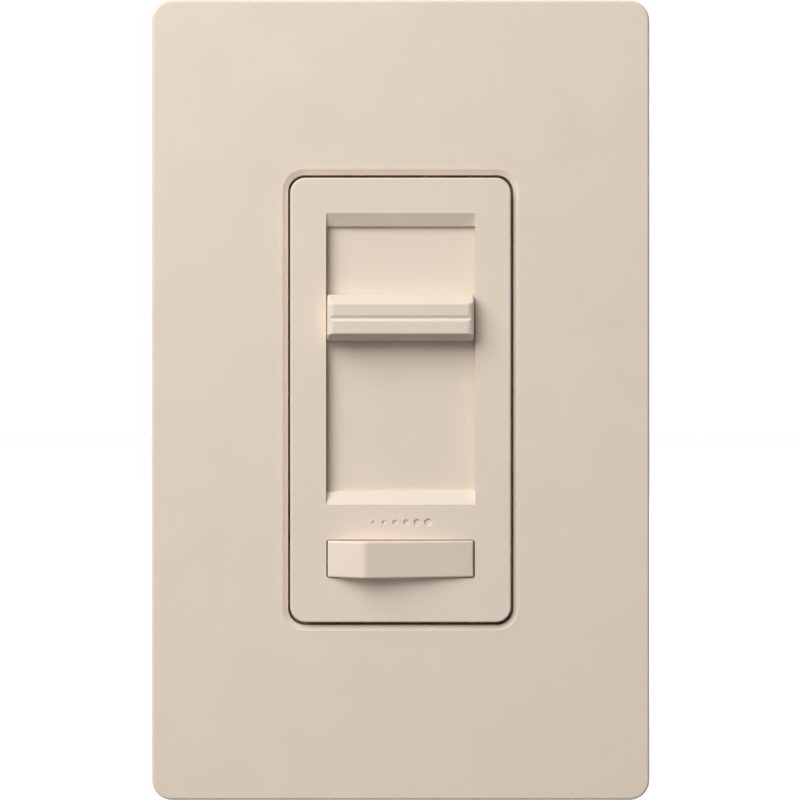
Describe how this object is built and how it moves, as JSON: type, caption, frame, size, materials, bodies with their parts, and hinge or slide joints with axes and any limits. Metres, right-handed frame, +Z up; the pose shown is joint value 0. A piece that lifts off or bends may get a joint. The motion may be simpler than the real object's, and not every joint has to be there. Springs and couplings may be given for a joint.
{
  "type": "dimmer slide switch",
  "caption": "Wall dimmer with a wide vertical slider above a small rocker, in a screwless cover plate, with strap, housing and terminals behind.",
  "frame": {"origin": "centre of the two box screws on the wall's surface, which is the back of the strap and of the cover plate's rim", "axes": "+X right and +Z up as seen from the front, -Y out of the wall towards the person, +Y into the wall box"},
  "size_m": [0.0746, 0.0386, 0.12],
  "materials": {
    "plate_plastic": "light almond, smooth satin moulding",
    "bezel_plastic": "light almond, smooth satin moulding",
    "knob_plastic": "light almond, smooth satin moulding",
    "adapter_plastic": "light almond, fine mould texture",
    "strap_aluminium": "mill finish, faint rolling lines",
    "zinc_steel": "zinc plated",
    "painted_screw": "almond paint",
    "rivet_aluminium": "satin",
    "fibre": "red vulcanised fibre",
    "housing_plastic": "black thermoset, fine spark texture",
    "switch_plastic": "natural nylon",
    "trim_plastic": "white acetal",
    "trim_body": "blue moulded",
    "wafer_laminate": "phenolic with carbon track",
    "board_laminate": "green solder mask",
    "tin": "tin plated",
    "bronze": "phosphor bronze",
    "silver": "silver contact",
    "brass": "satin brass",
    "black_screw": "black oxide",
    "green_screw": "green passivated",
    "epoxy_black": "moulded epoxy",
    "insulator_sheet": "thermal pad",
    "ferrite": "powder coated iron core",
    "magnet_wire": "enamelled copper",
    "capacitor_case": "epoxy box",
    "varistor_coat": "dipped coating",
    "resistor_body": "dipped body",
    "diode_glass": "small glass body",
    "label_paper": "blank polyester label"
  },
  "bodies": {
    "root": {"wallplate": "plate_plastic", "wallplate_adapter": "adapter_plastic", "adapter_screws": "painted_screw", "yoke": "strap_aluminium", "box_screws": "zinc_steel", "screw_retainers": "fibre", "bezel": "bezel_plastic", "track_plate": "bezel_plastic", "slide_pot_frame": "zinc_steel", "slide_pot_wafer": "wafer_laminate", "slide_pot_terminals": "tin", "switch_base": "switch_plastic", "switch_fixed_contact": "bronze", "trim_pot_body": "trim_body", "circuit_board": "board_laminate", "triac": "epoxy_black", "triac_insulator": "insulator_sheet", "triac_rivet": "rivet_aluminium", "choke_core": "ferrite", "choke_winding": "magnet_wire", "film_capacitor_large": "capacitor_case", "film_capacitor_small": "capacitor_case", "varistor": "varistor_coat", "resistors": "resistor_body", "diodes": "diode_glass", "back_cover": "housing_plastic", "cover_rivets": "rivet_aluminium", "back_label": "label_paper", "terminal_plates": "brass", "terminal_screws_brass": "brass", "terminal_screw_black": "black_screw", "ground_screw": "green_screw"},
    "slider": {"slider_knob": "knob_plastic", "slider_carriage": "switch_plastic", "slide_pot_lever": "switch_plastic", "slide_pot_wiper": "bronze"},
    "rocker": {"rocker_button": "knob_plastic"},
    "switch_lever": {"switch_arm": "bronze", "switch_arm_contact": "silver"},
    "trim": {"trim_wheel": "trim_plastic"}
  },
  "joints": [
    {"name": "slider_travel", "type": "slide", "parent": "root", "child": "slider", "axis": [0, 0, 1], "range_m": [-0.022, 0.01]},
    {"name": "rocker_tilt", "type": "hinge", "parent": "root", "child": "rocker", "pos_m": [0, -0.0063, -0.02375], "axis": [0, 0, -1], "range_deg": [0, 10]},
    {"name": "switch_lever_tilt", "type": "hinge", "parent": "root", "child": "switch_lever", "pos_m": [0, 0.0086, -0.02375], "axis": [0, 0, -1], "range_deg": [-22.4, 0]},
    {"name": "trim_turn", "type": "hinge", "parent": "root", "child": "trim", "pos_m": [-0.0142, 0, -0.0185], "axis": [0, -1, 0], "range_deg": [-135, 135]}
  ],
  "couplings": [
    {"joint": "switch_lever_tilt", "follows": "rocker_tilt", "ratio": -2.2391}
  ]
}
